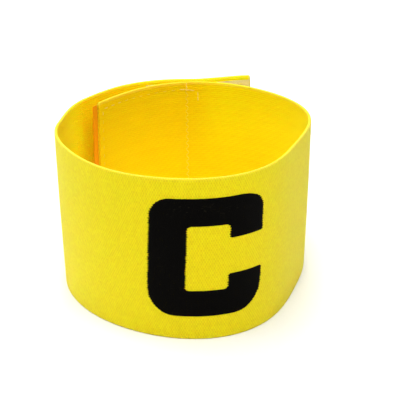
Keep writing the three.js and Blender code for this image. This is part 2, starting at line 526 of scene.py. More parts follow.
class Graph:
    """A node tree that is filled in by short calls."""

    def __init__(self, tree: bpy.types.NodeTree) -> None:
        """Start on a tree."""
        self.tree = tree

    def feed(self, socket: Socket, value: Any) -> None:
        """Link a socket to another one, or set its own value."""
        if isinstance(value, bpy.types.NodeSocket):
            self.tree.links.new(value, socket)
        else:
            socket.default_value = value

    def add(self, kind: str, inputs: dict[Any, Any] | None = None, **settings: Any) -> bpy.types.Node:
        """Add a node.

        Args:
            kind: The node's type, without the words ShaderNode in front.
            inputs: Values or sockets for its inputs, by name or number.
            **settings: The node's own settings.

        Returns:
            The node.
        """
        node = self.tree.nodes.new(kind if kind.startswith("Node") else "ShaderNode" + kind)
        for name, value in settings.items():
            setattr(node, name, value)
        for name, value in (inputs or {}).items():
            self.feed(node.inputs[name], value)
        return node

    def math(self, operation: str, *values: Any, clamp: bool = False) -> Socket:
        """Add a Math node and give its result."""
        node = self.add("Math", dict(enumerate(values)), operation=operation, use_clamp=clamp)
        return node.outputs[0]

    def times(self, first: Any, second: Any) -> Socket:
        """Multiply two values."""
        return self.math("MULTIPLY", first, second)

    def scaled(self, value: Any, factor: Any, base: Any, clamp: bool = False) -> Socket:
        """Multiply a value by a factor and add a base."""
        return self.math("MULTIPLY_ADD", value, factor, base, clamp=clamp)

    def wave(self, kind: str, value: Any, factor: float) -> Socket:
        """Take the SINE or the COSINE of a value times a factor."""
        return self.math(kind, self.times(value, factor))

    def mask(self, value: Any, ease: Ease, least: float = 0.0) -> Socket:
        """Ease a value into a mask that goes from `least` to 1."""
        inputs = {0: value, 1: ease.start, 2: ease.full, 3: least, 4: 1.0}
        return self.add("MapRange", inputs, interpolation_type="SMOOTHSTEP").outputs[0]

    def shift(self, share: Any, first: Any, second: Any) -> Socket:
        """Go from one value to another by a share."""
        return self.add("Mix", {0: share, 2: first, 3: second}, data_type="FLOAT").outputs[0]

    def blend(self, share: Any, first: Any, second: Any) -> Socket:
        """Mix two colours by a share."""
        return self.add("Mix", {0: share, 6: first, 7: second}, data_type="RGBA").outputs[2]

    def strip_place(self) -> tuple[Socket, Socket, Socket, Socket]:
        """Read the flat place: the vector, along the strip, up it and out of it."""
        place = self.add("Attribute", attribute_name=STRIP).outputs["Vector"]
        parts = self.add("SeparateXYZ", {0: place}).outputs
        return place, parts[0], parts[1], parts[2]


class Effects:
    """The node groups that more than one finish uses, each built once."""

    CROWN = 0.6
    BEAD = 0.7
    BEAD_SHARE = 0.6
    GROOVE = Ease(0.7, 0.2)
    FIBRE = (0.25, 1.0, 1.0)

    _built: dict[str, bpy.types.NodeTree] = {}

    @classmethod
    def _start(cls, name: str, inputs: dict[str, float], outputs: Sequence[str]) -> tuple[Graph, Any, Any]:
        """Start a group with number inputs and number outputs.

        Args:
            name: The group's name.
            inputs: The inputs' names and values.
            outputs: The outputs' names.

        Returns:
            The group's graph, its input sockets and its output node.
        """
        tree = bpy.data.node_groups.new(name, "ShaderNodeTree")
        add = tree.interface.new_socket
        for label, value in inputs.items():
            add(name=label, in_out="INPUT", socket_type="NodeSocketFloat").default_value = value
        for label in outputs:
            add(name=label, in_out="OUTPUT", socket_type="NodeSocketFloat")
        graph = Graph(tree)
        cls._built[name] = tree
        return graph, graph.add("NodeGroupInput").outputs, graph.add("NodeGroupOutput")

    @classmethod
    def weave(cls) -> bpy.types.NodeTree:
        """Ribs along the strip, each a row of floats that step from rib to rib, or a check of round floats.

        Returns:
            A group that gives the surface's height, the grooves' mask, and a random tone for each rib and
            for each half float.
        """
        if "weave" in cls._built:
            return cls._built["weave"]
        sizes = {
            "Rib pitch": 1.0 * MM,
            "Float pitch": 0.93 * MM,
            "Step": 0.5,
            "Slant": 0.0,
            "Start": 0.0,
            "Checked": 0.0,
        }
        graph, given, result = cls._start("weave", sizes, ("Height", "Groove", "Tone", "Float"))
        _, along, up, _ = graph.strip_place()
        rib = graph.math("DIVIDE", graph.math("SUBTRACT", up, given["Start"]), given["Rib pitch"])
        number, across = graph.math("FLOOR", rib), graph.math("FRACT", rib)
        floats = graph.math("DIVIDE", along, given["Float pitch"])
        stepped = graph.scaled(number, given["Step"], graph.times(across, given["Slant"]))
        lengthwise = graph.math("FRACT", graph.math("ADD", floats, stepped))
        crown = graph.math("POWER", graph.wave("SINE", across, math.pi), cls.CROWN)
        bead = graph.math("POWER", graph.wave("SINE", lengthwise, math.pi), cls.BEAD)
        ribbed = graph.times(crown, graph.scaled(bead, cls.BEAD_SHARE, 1 - cls.BEAD_SHARE))
        check = graph.times(graph.wave("COSINE", floats, 2 * math.pi), graph.wave("SINE", rib, math.pi))
        height = graph.shift(given["Checked"], ribbed, graph.scaled(check, 0.5, 0.5))
        tone = graph.add("TexWhiteNoise", {"W": number}, noise_dimensions="1D").outputs["Value"]
        half_floats = graph.math("FLOOR", graph.times(floats, 2.0))
        cell = graph.add("CombineXYZ", {0: half_floats, 1: number}).outputs[0]
        own = graph.add("TexWhiteNoise", {"Vector": cell}, noise_dimensions="3D").outputs["Value"]
        groove = graph.mask(height, cls.GROOVE)
        for label, value in (("Height", height), ("Groove", groove), ("Tone", tone), ("Float", own)):
            graph.feed(result.inputs[label], value)
        return graph.tree

    @classmethod
    def unevenness(cls) -> bpy.types.NodeTree:
        """Slow drifts of tone along the strip, and a fine fibrous grain.

        Returns:
            A group that gives the drift and the grain, each about 0.5 on average.
        """
        if "unevenness" in cls._built:
            return cls._built["unevenness"]
        scales = {"Drift": 45.0, "Grain": 2600.0}
        graph, given, result = cls._start("unevenness", scales, ("Drift", "Grain"))
        place = graph.strip_place()[0]
        stretched = graph.add("VectorMath", {0: place, 1: cls.FIBRE}, operation="MULTIPLY").outputs[0]
        for label, vector, detail in (("Drift", place, 3.0), ("Grain", stretched, 2.0)):
            noise = graph.add("TexNoise", {"Vector": vector, "Scale": given[label], "Detail": detail})
            graph.feed(result.inputs[label], noise.outputs[0])
        return graph.tree


@dataclass(frozen=True)
class Finish:
    """What every finish shares: its name, the record's slot, its roughness, gloss and sheen, and its relief."""

    name: str
    slot: str | None
    roughness: float
    gloss: float
    sheen: float
    sheen_roughness: float = 0.5
    rough_spread: float = 0.0
    relief: float = 0.05 * MM
    strength: float = 0.6

    def start(self) -> tuple[bpy.types.Material, Graph, bpy.types.Node]:
        """Start the material.

        Returns:
            The material, its graph and its Principled shader.
        """
        material = bpy.data.materials.new(self.name)
        material.use_nodes = True
        graph = Graph(material.node_tree)
        shader = material.node_tree.nodes["Principled BSDF"]
        shader.inputs["Roughness"].default_value = self.roughness
        shader.inputs["Specular IOR Level"].default_value = self.gloss
        shader.inputs["Sheen Weight"].default_value = self.sheen
        shader.inputs["Sheen Roughness"].default_value = self.sheen_roughness
        return material, graph, shader

    def group(self, graph: Graph, tree: bpy.types.NodeTree, **values: float) -> Any:
        """Place a shared effect with this finish's own values.

        Args:
            graph: The material's graph.
            tree: The effect.
            **values: The effect's inputs, with _ for a space.

        Returns:
            The effect's outputs.
        """
        node = graph.add("Group", node_tree=tree)
        for name, value in values.items():
            graph.feed(node.inputs[name.replace("_", " ").capitalize()], value)
        return node.outputs

    def roughen(self, graph: Graph, shader: bpy.types.Node, grain: Socket) -> None:
        """Let the roughness follow the grain, about its own value."""
        rough = graph.scaled(grain, self.rough_spread, self.roughness - self.rough_spread / 2)
        graph.feed(shader.inputs["Roughness"], rough)

    def emboss(self, graph: Graph, shader: bpy.types.Node, height: Socket) -> None:
        """Raise the surface by a height, as a share of the relief."""
        bump = graph.add("Bump", {"Strength": self.strength, "Distance": self.relief, "Height": height})
        graph.feed(shader.inputs["Normal"], bump.outputs[0])

    def dress(self, piece: Piece, material: bpy.types.Material) -> None:
        """Give a piece the material."""
        piece.data.materials.clear()
        piece.data.materials.append(material)


@dataclass(frozen=True)
class WebbingFinish(Finish):
    """Bright yellow woven elastic: a fine check outside, long streaks inside, and pale selvedges whose paleness
    is partly a painted sheen highlight.

    Places along the strip are ways from the inner end. Inside, the colour is painted paler where the wall is a
    single layer,
    and paler still higher up: this is painted light. It stays warmer in the pocket between the two layers, as
    painted shade.
    The inner face's warmer tone is partly the elastic's own and partly painted shade for the warm light inside
    the loop, and the darker tone in the weave's grooves is painted shade. Light comes through the cloth where
    it is thin.
    """

    name: str = "yellow_webbing"
    slot: str | None = "webbing"
    roughness: float = 0.78
    rough_spread: float = 0.16
    gloss: float = 0.13
    inner_gloss: float = 0.04
    sheen: float = 0.09
    inner_sheen: float = 0.03
    relief: float = 0.10 * MM
    strength: float = 0.8
    grain_relief: float = 0.3
    # The groove colours are the darker tone that random tones and the painted shade in the weave's grooves pull
    # the yarn towards.
    yarn: tuple = srgb(251, 240, 12)
    groove: tuple = srgb(223, 197, 3)
    # The inner face's warmer colours are partly the elastic's own and partly painted shade for the warm light
    # inside the loop.
    inner_yarn: tuple = srgb(254, 223, 3)
    inner_groove: tuple = srgb(246, 189, 2)
    # Painted light: paler colours for the single-layer wall inside, standing for a brighter lit wall rather
    # than another yarn.
    single_lit_yarn: tuple = srgb(255, 240, 6)
    single_lit_groove: tuple = srgb(251, 211, 3)
    # The rims' pale colour is partly the selvedge yarn and partly a painted sheen highlight along the edges.
    selvedge_and_sheen_yarn: tuple = srgb(230, 209, 90)
    sealed_yarn: tuple = srgb(236, 222, 150)
    rib_share: Sides = Sides(0.12, 0.03)
    drift_share: Sides = Sides(0.2, 0.06)
    float_share: Sides = Sides(0.0, 0.26)
    grain_share: Sides = Sides(0.05, 0.1)
    groove_shade_share: Sides = Sides(0.3, 0.34)
    rim_share: Sides = Sides(0.3, 0.4)
    fray_share: Sides = Sides(0.3, 0.1)
    rim: Ease = Ease(0.8, 0.3)
    fray: Ease = Ease(1.7 * MM, 0.6 * MM)
    sealed: Ease = Ease(1.1 * MM, 0.5 * MM)
    sealed_share: float = 0.6
    # Where the painted light lies: away from the doubled part, and stronger higher up the wall, down to a least
    # share at the foot.
    single: Ease = Ease(44 * MM, 64 * MM)
    lit_higher_up: Ease = Ease(18 * MM, 52 * MM)
    lit_least_at_foot: float = 0.3
    # Painted shade: in the pocket between the two layers the paler painted light is cut back, so the wall stays
    # warmer there.
    pocket_shade_start: Ease = Ease(270 * MM, 300 * MM)
    pocket_shade_end: Ease = Ease(365 * MM, 340 * MM)
    pocket_shade_share: float = 0.6
    thin: Ease = Ease(285 * MM, 310 * MM)
    through: float = 0.4
    through_reach: float = 1.5 * MM
    through_tint: tuple = (1.0, 0.5, 0.05)
    thin_through: float = 1.0
    thin_reach: float = 5.0 * MM
    dot_length: float = 0.93 * MM
    streak_length: float = 3.4 * MM
    streak_step: float = 0.37
    streak_slant: float = 0.1

    def material(self, band: "Webbing") -> bpy.types.Material:
        """Build the material for a band's own sizes."""
        material, graph, shader = self.start()
        ribs = {"rib_pitch": band.rib_pitch, "start": band.selvedge}
        weave = Effects.weave()
        dots = self.group(graph, weave, float_pitch=self.dot_length, checked=1.0, **ribs)
        steps = {"step": self.streak_step, "slant": self.streak_slant}
        streaks = self.group(graph, weave, float_pitch=self.streak_length, **steps, **ribs)
        uneven = self.group(graph, Effects.unevenness())
        _, along, up, out = graph.strip_place()
        outer = graph.math("GREATER_THAN", out, 0.0)
        from_end = graph.math("SUBTRACT", band.winding.length, along)
        height = graph.shift(outer, streaks["Height"], dots["Height"])
        tones = (
            (streaks["Tone"], self.rib_share),
            (uneven["Drift"], self.drift_share),
            (dots["Float"], self.float_share),
            (uneven["Grain"], self.grain_share),
            (graph.shift(outer, streaks["Groove"], dots["Groove"]), self.groove_shade_share),
        )
        # Random tones, plus painted shade where the groove mask is high.
        tone_and_groove_shade: Any = 0.0
        for tone, share in tones:
            tone_and_groove_shade = graph.scaled(tone, graph.shift(outer, *share), tone_and_groove_shade, clamp=True)
        inside = self._inside(graph, from_end, up, tone_and_groove_shade)
        colour = graph.blend(outer, inside, graph.blend(tone_and_groove_shade, self.yarn, self.groove))
        # Pale rims: partly the selvedge yarn, partly painted sheen highlight.
        colour = graph.blend(self._selvedge(graph, band, up, outer), colour, self.selvedge_and_sheen_yarn)
        sealed = graph.times(graph.mask(along, self.sealed), self.sealed_share)
        graph.feed(shader.inputs["Base Color"], graph.blend(sealed, colour, self.sealed_yarn))
        graph.feed(shader.inputs["Specular IOR Level"], graph.shift(outer, self.inner_gloss, self.gloss))
        graph.feed(shader.inputs["Sheen Weight"], graph.shift(outer, self.inner_sheen, self.sheen))
        thin = graph.times(graph.mask(from_end, self.thin), graph.math("SUBTRACT", 1.0, outer))
        reach = graph.shift(thin, self.through_reach, self.thin_reach)
        graph.feed(shader.inputs["Subsurface Weight"], graph.shift(thin, self.through, self.thin_through))
        graph.feed(shader.inputs["Subsurface Scale"], reach)
        shader.inputs["Subsurface Radius"].default_value = self.through_tint
        self.roughen(graph, shader, uneven["Grain"])
        self.emboss(graph, shader, graph.scaled(uneven["Grain"], self.grain_relief, height))
        return material

    def _inside(self, graph: Graph, from_end: Socket, up: Socket, tone_and_groove_shade: Socket) -> Socket:
        """Mix the inner face's colour, with painted light that makes it paler where the wall is a single layer
        and higher up.

        Args:
            graph: The material's graph.
            from_end: The way from the inner end.
            up: The way up the strip.
            tone_and_groove_shade: How far the yarn goes towards its darker tone, from random tones and from
                painted shade in the grooves.

        Returns:
            The colour.
        """
        # Painted light: the inside goes paler where the wall is a single layer, and more so higher up.
        high = graph.mask(up, self.lit_higher_up, self.lit_least_at_foot)
        single = graph.times(graph.mask(from_end, self.single), high)
        # Painted shade in the pocket: less of the paler colour between the two layers.
        pocket = graph.times(graph.mask(from_end, self.pocket_shade_start), graph.mask(from_end, self.pocket_shade_end))
        single = graph.times(single, graph.scaled(pocket, -self.pocket_shade_share, 1.0))
        yarn = graph.blend(single, self.inner_yarn, self.single_lit_yarn)
        return graph.blend(tone_and_groove_shade, yarn, graph.blend(single, self.inner_groove, self.single_lit_groove))

    def _selvedge(self, graph: Graph, band: "Webbing", up: Socket, outer: Socket) -> Socket:
        """Mask the pale rims and the fray beside them, whose paleness is partly the edge yarn and partly a
        painted sheen highlight.

        Args:
            graph: The material's graph.
            band: The webbing.
            up: The way up the strip.
            outer: The outer face's mask.

        Returns:
            The mask.
        """
        inset = graph.math("MINIMUM", up, graph.math("SUBTRACT", band.winding.width, up))
        ease = Ease(self.rim.start * band.selvedge, self.rim.full * band.selvedge)
        rim = graph.times(graph.mask(inset, ease), graph.shift(outer, *self.rim_share))
        fray = graph.times(graph.mask(inset, self.fray), graph.shift(outer, *self.fray_share))
        return graph.math("MAXIMUM", rim, fray)


@dataclass(frozen=True)
class PrintFinish(Finish):
    """Matte black ink that soaks into the weave, with pale flecks where it missed the yarn."""

    name: str = "black_print"
    slot: str | None = "black_print"
    roughness: float = 0.62
    rough_spread: float = 0.2
    gloss: float = 0.03
    sheen: float = 0.0
    relief: float = 0.07 * MM
    strength: float = 0.7
    ink: tuple = srgb(5, 4, 3)
    worn: tuple = srgb(42, 39, 28)
    flecks: Ease = Ease(0.60, 0.70)
    patches: Ease = Ease(0.50, 0.62)
    patch_scale: float = 160.0
    foot_wear: float = 0.2
    head_wear: float = 0.8

    def material(self, band: "Webbing", letter: "PrintedLetter") -> bpy.types.Material:
        """Build the material on the band's weave and the letter's place."""
        material, graph, shader = self.start()
        ribs = {"rib_pitch": band.rib_pitch, "start": band.selvedge}
        weave = self.group(graph, Effects.weave(), checked=1.0, **ribs)
        uneven = self.group(graph, Effects.unevenness(), drift=self.patch_scale)
        _, _, up, _ = graph.strip_place()
        patches = graph.mask(uneven["Drift"], self.patches)
        missed = graph.times(graph.mask(uneven["Grain"], self.flecks), patches)
        high = graph.mask(up, Ease(letter.centre_up, letter.centre_up + letter.height / 2))
        worn = graph.times(missed, graph.scaled(high, self.head_wear - self.foot_wear, self.foot_wear))
        graph.feed(shader.inputs["Base Color"], graph.blend(worn, self.ink, self.worn))
        self.roughen(graph, shader, uneven["Grain"])
        self.emboss(graph, shader, weave["Height"])
        return material


@dataclass(frozen=True)
class TapeFinish(Finish):
    """The woven ground of a closure tape, or the fine filaments that stand on it."""

    yarn: tuple = srgb(240, 214, 140)
    shade: tuple = srgb(206, 170, 92)
    rib_pitch: float = 0.55 * MM
    float_pitch: float = 0.7 * MM
    drift_scale: float = 220.0
    groove_shade_share: float = 0.3
    drift_share: float = 0.5
    through: float = 0.0
    through_reach: float = 0.4 * MM
    through_tint: tuple = (1.0, 0.8, 0.4)

    def material(self) -> bpy.types.Material:
        """Build the material."""
        material, graph, shader = self.start()
        pitches = {"rib_pitch": self.rib_pitch, "float_pitch": self.float_pitch}
        weave = self.group(graph, Effects.weave(), **pitches)
        uneven = self.group(graph, Effects.unevenness(), drift=self.drift_scale)
        # Painted shade in the weave's grooves, plus a random drift, pull the ground towards its shade colour.
        share = graph.scaled(weave["Groove"], self.groove_shade_share, graph.times(uneven["Drift"], self.drift_share))
        graph.feed(shader.inputs["Base Color"], graph.blend(share, self.yarn, self.shade))
        shader.inputs["Subsurface Weight"].default_value = self.through
        shader.inputs["Subsurface Radius"].default_value = self.through_tint
        shader.inputs["Subsurface Scale"].default_value = self.through_reach
        self.emboss(graph, shader, weave["Height"])
        return material


@dataclass(frozen=True)
class ThreadFinish(Finish):
    """Sewing thread, twisted from plies.

    It lies pale at the upper corner of the inner end. Past that corner and below it, it goes over into the
    cloth's own tone as far as `fades` says.
    """

    name: str = "beige_thread"
    slot: str | None = None
    roughness: float = 0.55
    gloss: float = 0.3
    sheen: float = 0.15
    sheen_roughness: float = 0.4
    relief: float = 0.03 * MM
    strength: float = 0.5
    thread: tuple = srgb(254, 230, 118)
    shade: tuple = srgb(248, 208, 84)
    dyed: tuple = srgb(252, 220, 30)
    fades: float = 0.0
    past_corner: Ease = Ease(7 * MM, 19 * MM)
    below_corner: Ease = Ease(5 * MM, 8 * MM)
    plies: float = 5200.0
    ply_turn: tuple = (0.3, 0.5, math.radians(38))
    ply_share: float = 0.4
    drift_share: float = 0.3
    drift_scale: float = 400.0

    def material(self, winding: Winding) -> bpy.types.Material:
        """Build the material on the strip's own length."""
        material, graph, shader = self.start()
        place, along, up, _ = graph.strip_place()
        turned = graph.add("Mapping", {"Vector": place, "Rotation": self.ply_turn}).outputs[0]
        across = graph.add("SeparateXYZ", {0: turned}).outputs[0]
        ply = graph.math("ABSOLUTE", graph.wave("SINE", across, self.plies))
        uneven = self.group(graph, Effects.unevenness(), drift=self.drift_scale)
        between = graph.math("SUBTRACT", 1.0, ply)
        share = graph.scaled(between, self.ply_share, graph.times(uneven["Drift"], self.drift_share))
        past = graph.mask(graph.math("SUBTRACT", winding.length, along), self.past_corner)
        below = graph.mask(graph.math("SUBTRACT", winding.width, up), self.below_corner)
        faded = graph.times(graph.math("MAXIMUM", past, below), self.fades)
        twisted = graph.blend(share, self.thread, self.shade)
        graph.feed(shader.inputs["Base Color"], graph.blend(faded, twisted, self.dyed))
        self.emboss(graph, shader, ply)
        return material


class Seam(NamedTuple):
    """A row of stitches between two flat places.

    `shown` is the share of the pitch that lies on the face, and `zigzag` is the row's width, 0 for a straight
    row.
    """

    start: tuple[float, float]
    end: tuple[float, float]
    pitch: float
    shown: float = 0.45
    zigzag: float = 0.0


class Tack(NamedTuple):
    """A short row of stitches, in millimetres: its two places from the strip's end and from the upper seam."""

    start: float
    start_up: float
    end: float
    end_up: float
    pitch: float


@dataclass
class Filament:
    """A short bent wire: a straight stem that goes over into an arc. It bends in the x-z plane."""

    radius: float
    sides: int
    bend: float
    start_angle: float
    turn: float
    steps: int
    stem: float = 0.0
    taper: float = 1.0

    def build(self, name: str) -> Piece:
        """Model the wire with its foot at the origin's height.

        Args:
            name: The piece's name.

        Returns:
            The wire, closed at both ends.
        """
        start, turn = math.radians(self.start_angle), math.radians(self.turn)
        centre = Vector((0, 0, self.stem or -self.bend * math.cos(start)))
        foot = centre + self.bend * Vector((math.sin(start), 0, math.cos(start)))
        foot.z -= self.stem
        bpy.ops.mesh.primitive_circle_add(
            vertices=self.sides,
            radius=self.radius,
            fill_type="NGON",
            location=foot,
            rotation=(0, start + math.pi / 2, 0),
        )
        wire = Bench.added(name)
        with Bench.editing(wire, "FACE"):
            if self.stem:
                bpy.ops.mesh.extrude_region_move(TRANSFORM_OT_translate={"value": (0, 0, self.stem)})
            bpy.ops.mesh.spin(steps=self.steps, angle=-turn, center=centre, axis=(0, 1, 0))
        if self.taper != 1:
            self._taper(wire)
        Bench.face_outwards(wire)
        Bench.smooth(wire, math.radians(80))
        return wire

    def _taper(self, wire: Piece) -> None:
        """Draw the two ends of the wire in."""
        points = points_of(wire)
        rings = np.arange(len(points)) // self.sides
        for ring in (0, rings.max()):
            own = rings == ring
            middle = points[own].mean(0)
            points[own] = middle + (points[own] - middle) * self.taper
        set_points(wire, points)


@dataclass
class Webbing:
    """The strip of woven elastic itself."""

    winding: Winding
    rib_pitch: float = 0.92 * MM
    inner_groove: float = 0.07 * MM
    outer_groove: float = 0.0
    selvedge: float = 0.6 * MM
    selvedge_steps: int = 4
    selvedge_least: float = 0.03
    rib_lines: tuple[float, ...] = (0, 0.22, 0.78)
    corner: float = 1.0 * MM
    step: float = 3.0 * MM
    fine: float = 0.4 * MM
    pressed: float = 0.1 * MM
    pull_reach: float = 0.7 * MM
    ragged: float = 0.05 * MM
    ragged_waves: tuple[float, float] = (0.9 * MM, 0.37 * MM)
    seam_inset: float = 3.5 * MM
    seams_along: tuple[float, ...] = (2.2 * MM, 45.3 * MM)

    def rows(self) -> np.ndarray:
        """Fit the ribs to the width, and give lines up the strip: two on each rib and one in each groove."""
        width, edge = self.winding.width, self.selvedge
        ribs = round((width - 2 * edge) / self.rib_pitch)
        self.rib_pitch = (width - 2 * edge) / ribs
        quarter = edge * (1 - np.cos(np.linspace(0, math.pi / 2, self.selvedge_steps + 1)))[:-1]
        body = edge + self.rib_pitch * np.add.outer(np.arange(ribs), self.rib_lines).ravel()
        return np.concatenate([quarter, body, [width - edge], (width - quarter)[::-1]])

    def seam_places(self) -> list[float]:
        """Where seams cross the strip, along it, at the flap and at the inner end."""
        return [*self.seams_along, *(self.winding.length - at for at in self.seams_along)]

    def build(self) -> Piece:
        """Weave, cut and wind the strip.

        Returns:
            The finished band.
        """
        length, width = self.winding.length, self.winding.width
        rows = self.rows()
        columns = graded(0, length, [0, *self.seam_places(), length], self.fine, self.step)
        band = flat_grid("webbing_band", columns, rows)
        Bench.modify(band, "SOLIDIFY", thickness=self.winding.thickness, offset=0, use_even_offset=False)
        points = points_of(band)
        points[:, 2] = self._faces(points)
        self._trim(points, length, width)
        set_points(band, points)
        Bench.smooth(band)
        return self.winding.wind(band)

    def _faces(self, points: np.ndarray) -> np.ndarray:
        """Work out the faces' relief: rounded selvedges, ribs, and the pull of the seams.

        Args:
            points: The flat band's vertices.

        Returns:
            Their way out of the mid-plane.
        """
        width, half = self.winding.width, self.winding.thickness / 2
        along, up, side = points[:, 0], points[:, 1], np.sign(points[:, 2])
        inset = np.minimum(up, width - up)
        gap = 1 - np.clip(inset / self.selvedge, 0, 1)
        rounded = np.sqrt(np.clip(1 - gap**2, self.selvedge_least, 1))
        phase = (up - self.selvedge) / self.rib_pitch
        in_groove = np.abs(phase - np.rint(phase)) < 0.1
        groove = np.where(side > 0, self.outer_groove, self.inner_groove)
        out = half * rounded - groove * (in_groove & (inset > 0.9 * self.selvedge))
        reach = self.seams_along[-1] + self.seam_inset
        at_end = np.minimum(along, self.winding.length - along) < reach
        rows_pull = bell(inset - self.seam_inset, self.pull_reach) * at_end
        columns_pull = np.max([bell(along - place, self.pull_reach) for place in self.seam_places()], axis=0)
        return side * (out - self.pressed * np.maximum(rows_pull, columns_pull))

    def _trim(self, points: np.ndarray, length: float, width: float) -> None:
        """Round the four corners and leave the cut ends a little ragged."""
        along = points[:, 0].copy()
        inset = np.minimum(along, length - along)
        middle = width / 2
        points[:, 1] = middle + (points[:, 1] - middle) * (1 - round_off(inset, self.corner) / middle)
        slow, quick = self.ragged_waves
        uneven = np.sin(points[:, 1] / slow) + np.sin(points[:, 1] / quick + 1)
        points[:, 0] += np.where(inset < 0.1 * self.fine, self.ragged * uneven / 2, 0)


@dataclass
class PrintedLetter:
    """The block letter, printed on the outer face at the middle of the strip."""

    band: Webbing
    width: float = 43 * MM
    height: float = 47.4 * MM
    shift: float = 1.5 * MM
    raise_by: float = 1.2 * MM
    stem: float = 13.8 * MM
    arm: float = 10.7 * MM
    jaw_width: float = 13.5 * MM
    jaw_height: float = 16.2 * MM
    foot_jaw_height: float = 16.8 * MM
    head_corner: float = 6.5 * MM
    head_stem_corner: float = 7.3 * MM
    foot_corner: float = 10.7 * MM
    head_dip: float = 0.8 * MM
    dip_reach: float = 9.5 * MM
    dip_length: float = 5.7 * MM
    slant: float = 0.043
    counter_corner: float = 1.7 * MM
    jaw_corner: float = 0.7 * MM
    corner_steps: int = 8
    near: float = 0.05 * MM
    film: float = 0.07 * MM
    tooth: float = 0.32 * MM
    column_step: float = 2.4 * MM

    @property
    def centre_along(self) -> float:
        """The letter's middle along the strip."""
        return self.band.winding.length / 2 + self.shift

    @property
    def centre_up(self) -> float:
        """The letter's middle up the strip."""
        return self.band.winding.width / 2 + self.raise_by

    @staticmethod
    def _cut(places: Sequence[float], normal: tuple[int, int, int]) -> None:
        """Cut the edited film along lines square to a direction."""
        for place in places:
            bpy.ops.mesh.select_all(action="SELECT")
            bpy.ops.mesh.bisect(plane_co=Vector(normal) * place, plane_no=normal)

    def _round(self, film: Piece, radius: float, corners: Sequence[tuple[float, float]]) -> None:
        """Round some corners of a flat film, in edit mode."""
        bpy.ops.mesh.select_mode(type="VERT")
        Bench.pick_points(
            film,
            lambda co: any(abs(co.x - x) < self.near and abs(co.y - y) < self.near for x, y in corners),
        )
        bpy.ops.mesh.bevel(affect="VERTICES", offset=radius, segments=self.corner_steps, profile=0.5)

    def outline(self) -> Piece:
        """Cut the letter's outline from a blank and round its corners, about its own middle.

        Returns:
            One flat face.
        """
        right, top = self.width / 2, self.height / 2
        stem_edge, jaw_edge = self.stem - right, right - self.jaw_width
        arm_edge, jaw_end, foot_jaw_end = top - self.arm, top - self.jaw_height, self.foot_jaw_height - top
        bpy.ops.mesh.primitive_plane_add(size=1)
        bpy.context.object.scale = (self.width, self.height, 1)
        film = Bench.added("letter_c_print")
        with Bench.editing(film, "FACE"):
            self._cut((stem_edge, jaw_edge), (1, 0, 0))
            self._cut((-arm_edge, foot_jaw_end, jaw_end, arm_edge), (0, 1, 0))
            Bench.pick_faces(
                film,
                lambda co: (stem_edge < co.x < jaw_edge and abs(co.y) < arm_edge)
                or (co.x > jaw_edge and foot_jaw_end < co.y < jaw_end),
            )
            bpy.ops.mesh.delete(type="FACE")
            bpy.ops.mesh.select_all(action="SELECT")
            bpy.ops.mesh.dissolve_limited(angle_limit=math.radians(1))
            corners = (
                (self.head_stem_corner, (-right,), (top,)),
                (self.head_corner, (right,), (top,)),
                (self.foot_corner, (-right, right), (-top,)),
                (self.counter_corner, (stem_edge, jaw_edge), (-arm_edge, arm_edge)),
                (self.jaw_corner, (jaw_edge, right), (foot_jaw_end, jaw_end)),
            )
            for radius, across, up in corners:
                self._round(film, radius, [(x, y) for x in across for y in up])
        return film

    def build(self) -> Piece:
        """Print the letter onto the strip.

        Returns:
            The finished print, a thin film on the webbing's face.
        """
        film = self.outline()
        pitch = self.band.rib_pitch / 4
        low = self.centre_up - self.height / 2
        first = math.ceil((low - self.band.selvedge) / pitch)
        numbers = np.arange(first, first + round(self.height / pitch))
        lines = self.band.selvedge + pitch * numbers - self.centre_up
        columns = np.arange(-self.width / 2, self.width / 2, self.column_step)[1:]
        with Bench.editing(film, "FACE"):
            self._cut(columns, (1, 0, 0))
            self._cut(lines[np.abs(lines) < self.height / 2 - self.near], (0, 1, 0))
            bpy.ops.mesh.select_all(action="SELECT")
            bpy.ops.mesh.extrude_region_move(TRANSFORM_OT_translate={"value": (0, 0, self.film)})
            bpy.ops.mesh.select_all(action="SELECT")
            bpy.ops.mesh.normals_make_consistent(inside=False)
        self._feather(film)
        points = points_of(film)
        near_end = np.clip((points[:, 0] - self.width / 2 + self.dip_reach) / self.dip_length, 0, 1)
        in_arm = np.clip((points[:, 1] - self.height / 2 + self.arm) / self.arm, 0, 1)
        points[:, 1] -= self.head_dip * (3 - 2 * near_end) * near_end**2 * in_arm
        points[:, 0] += self.slant * points[:, 1]
        points += (self.centre_along, self.centre_up, self.band.winding.thickness / 2)
        set_points(film, points)
        Bench.smooth(film, math.radians(40))
        return self.band.winding.wind(film)

    def _feather(self, film: Piece) -> None:
        """Let the upright edges run out along the ribs, in small teeth."""
        mesh = bmesh.new()
        mesh.from_mesh(film.data)
        pitch = self.band.rib_pitch
        for vertex in mesh.verts:
            walls = [face for face in vertex.link_faces if abs(face.normal.z) < 0.5]
            if not walls:
                continue
            sideways = sum(face.normal.x for face in walls) / len(walls)
            rib = (vertex.co.y + self.centre_up - self.band.selvedge) / pitch
            shape = math.cos(2 * math.pi * (rib - 0.5))
            own = math.sin(78.233 * math.floor(rib)) * 437.58 % 1 - 0.5
            vertex.co.x += self.tooth * sideways * (shape + own)
        mesh.to_mesh(film.data)
        mesh.free()


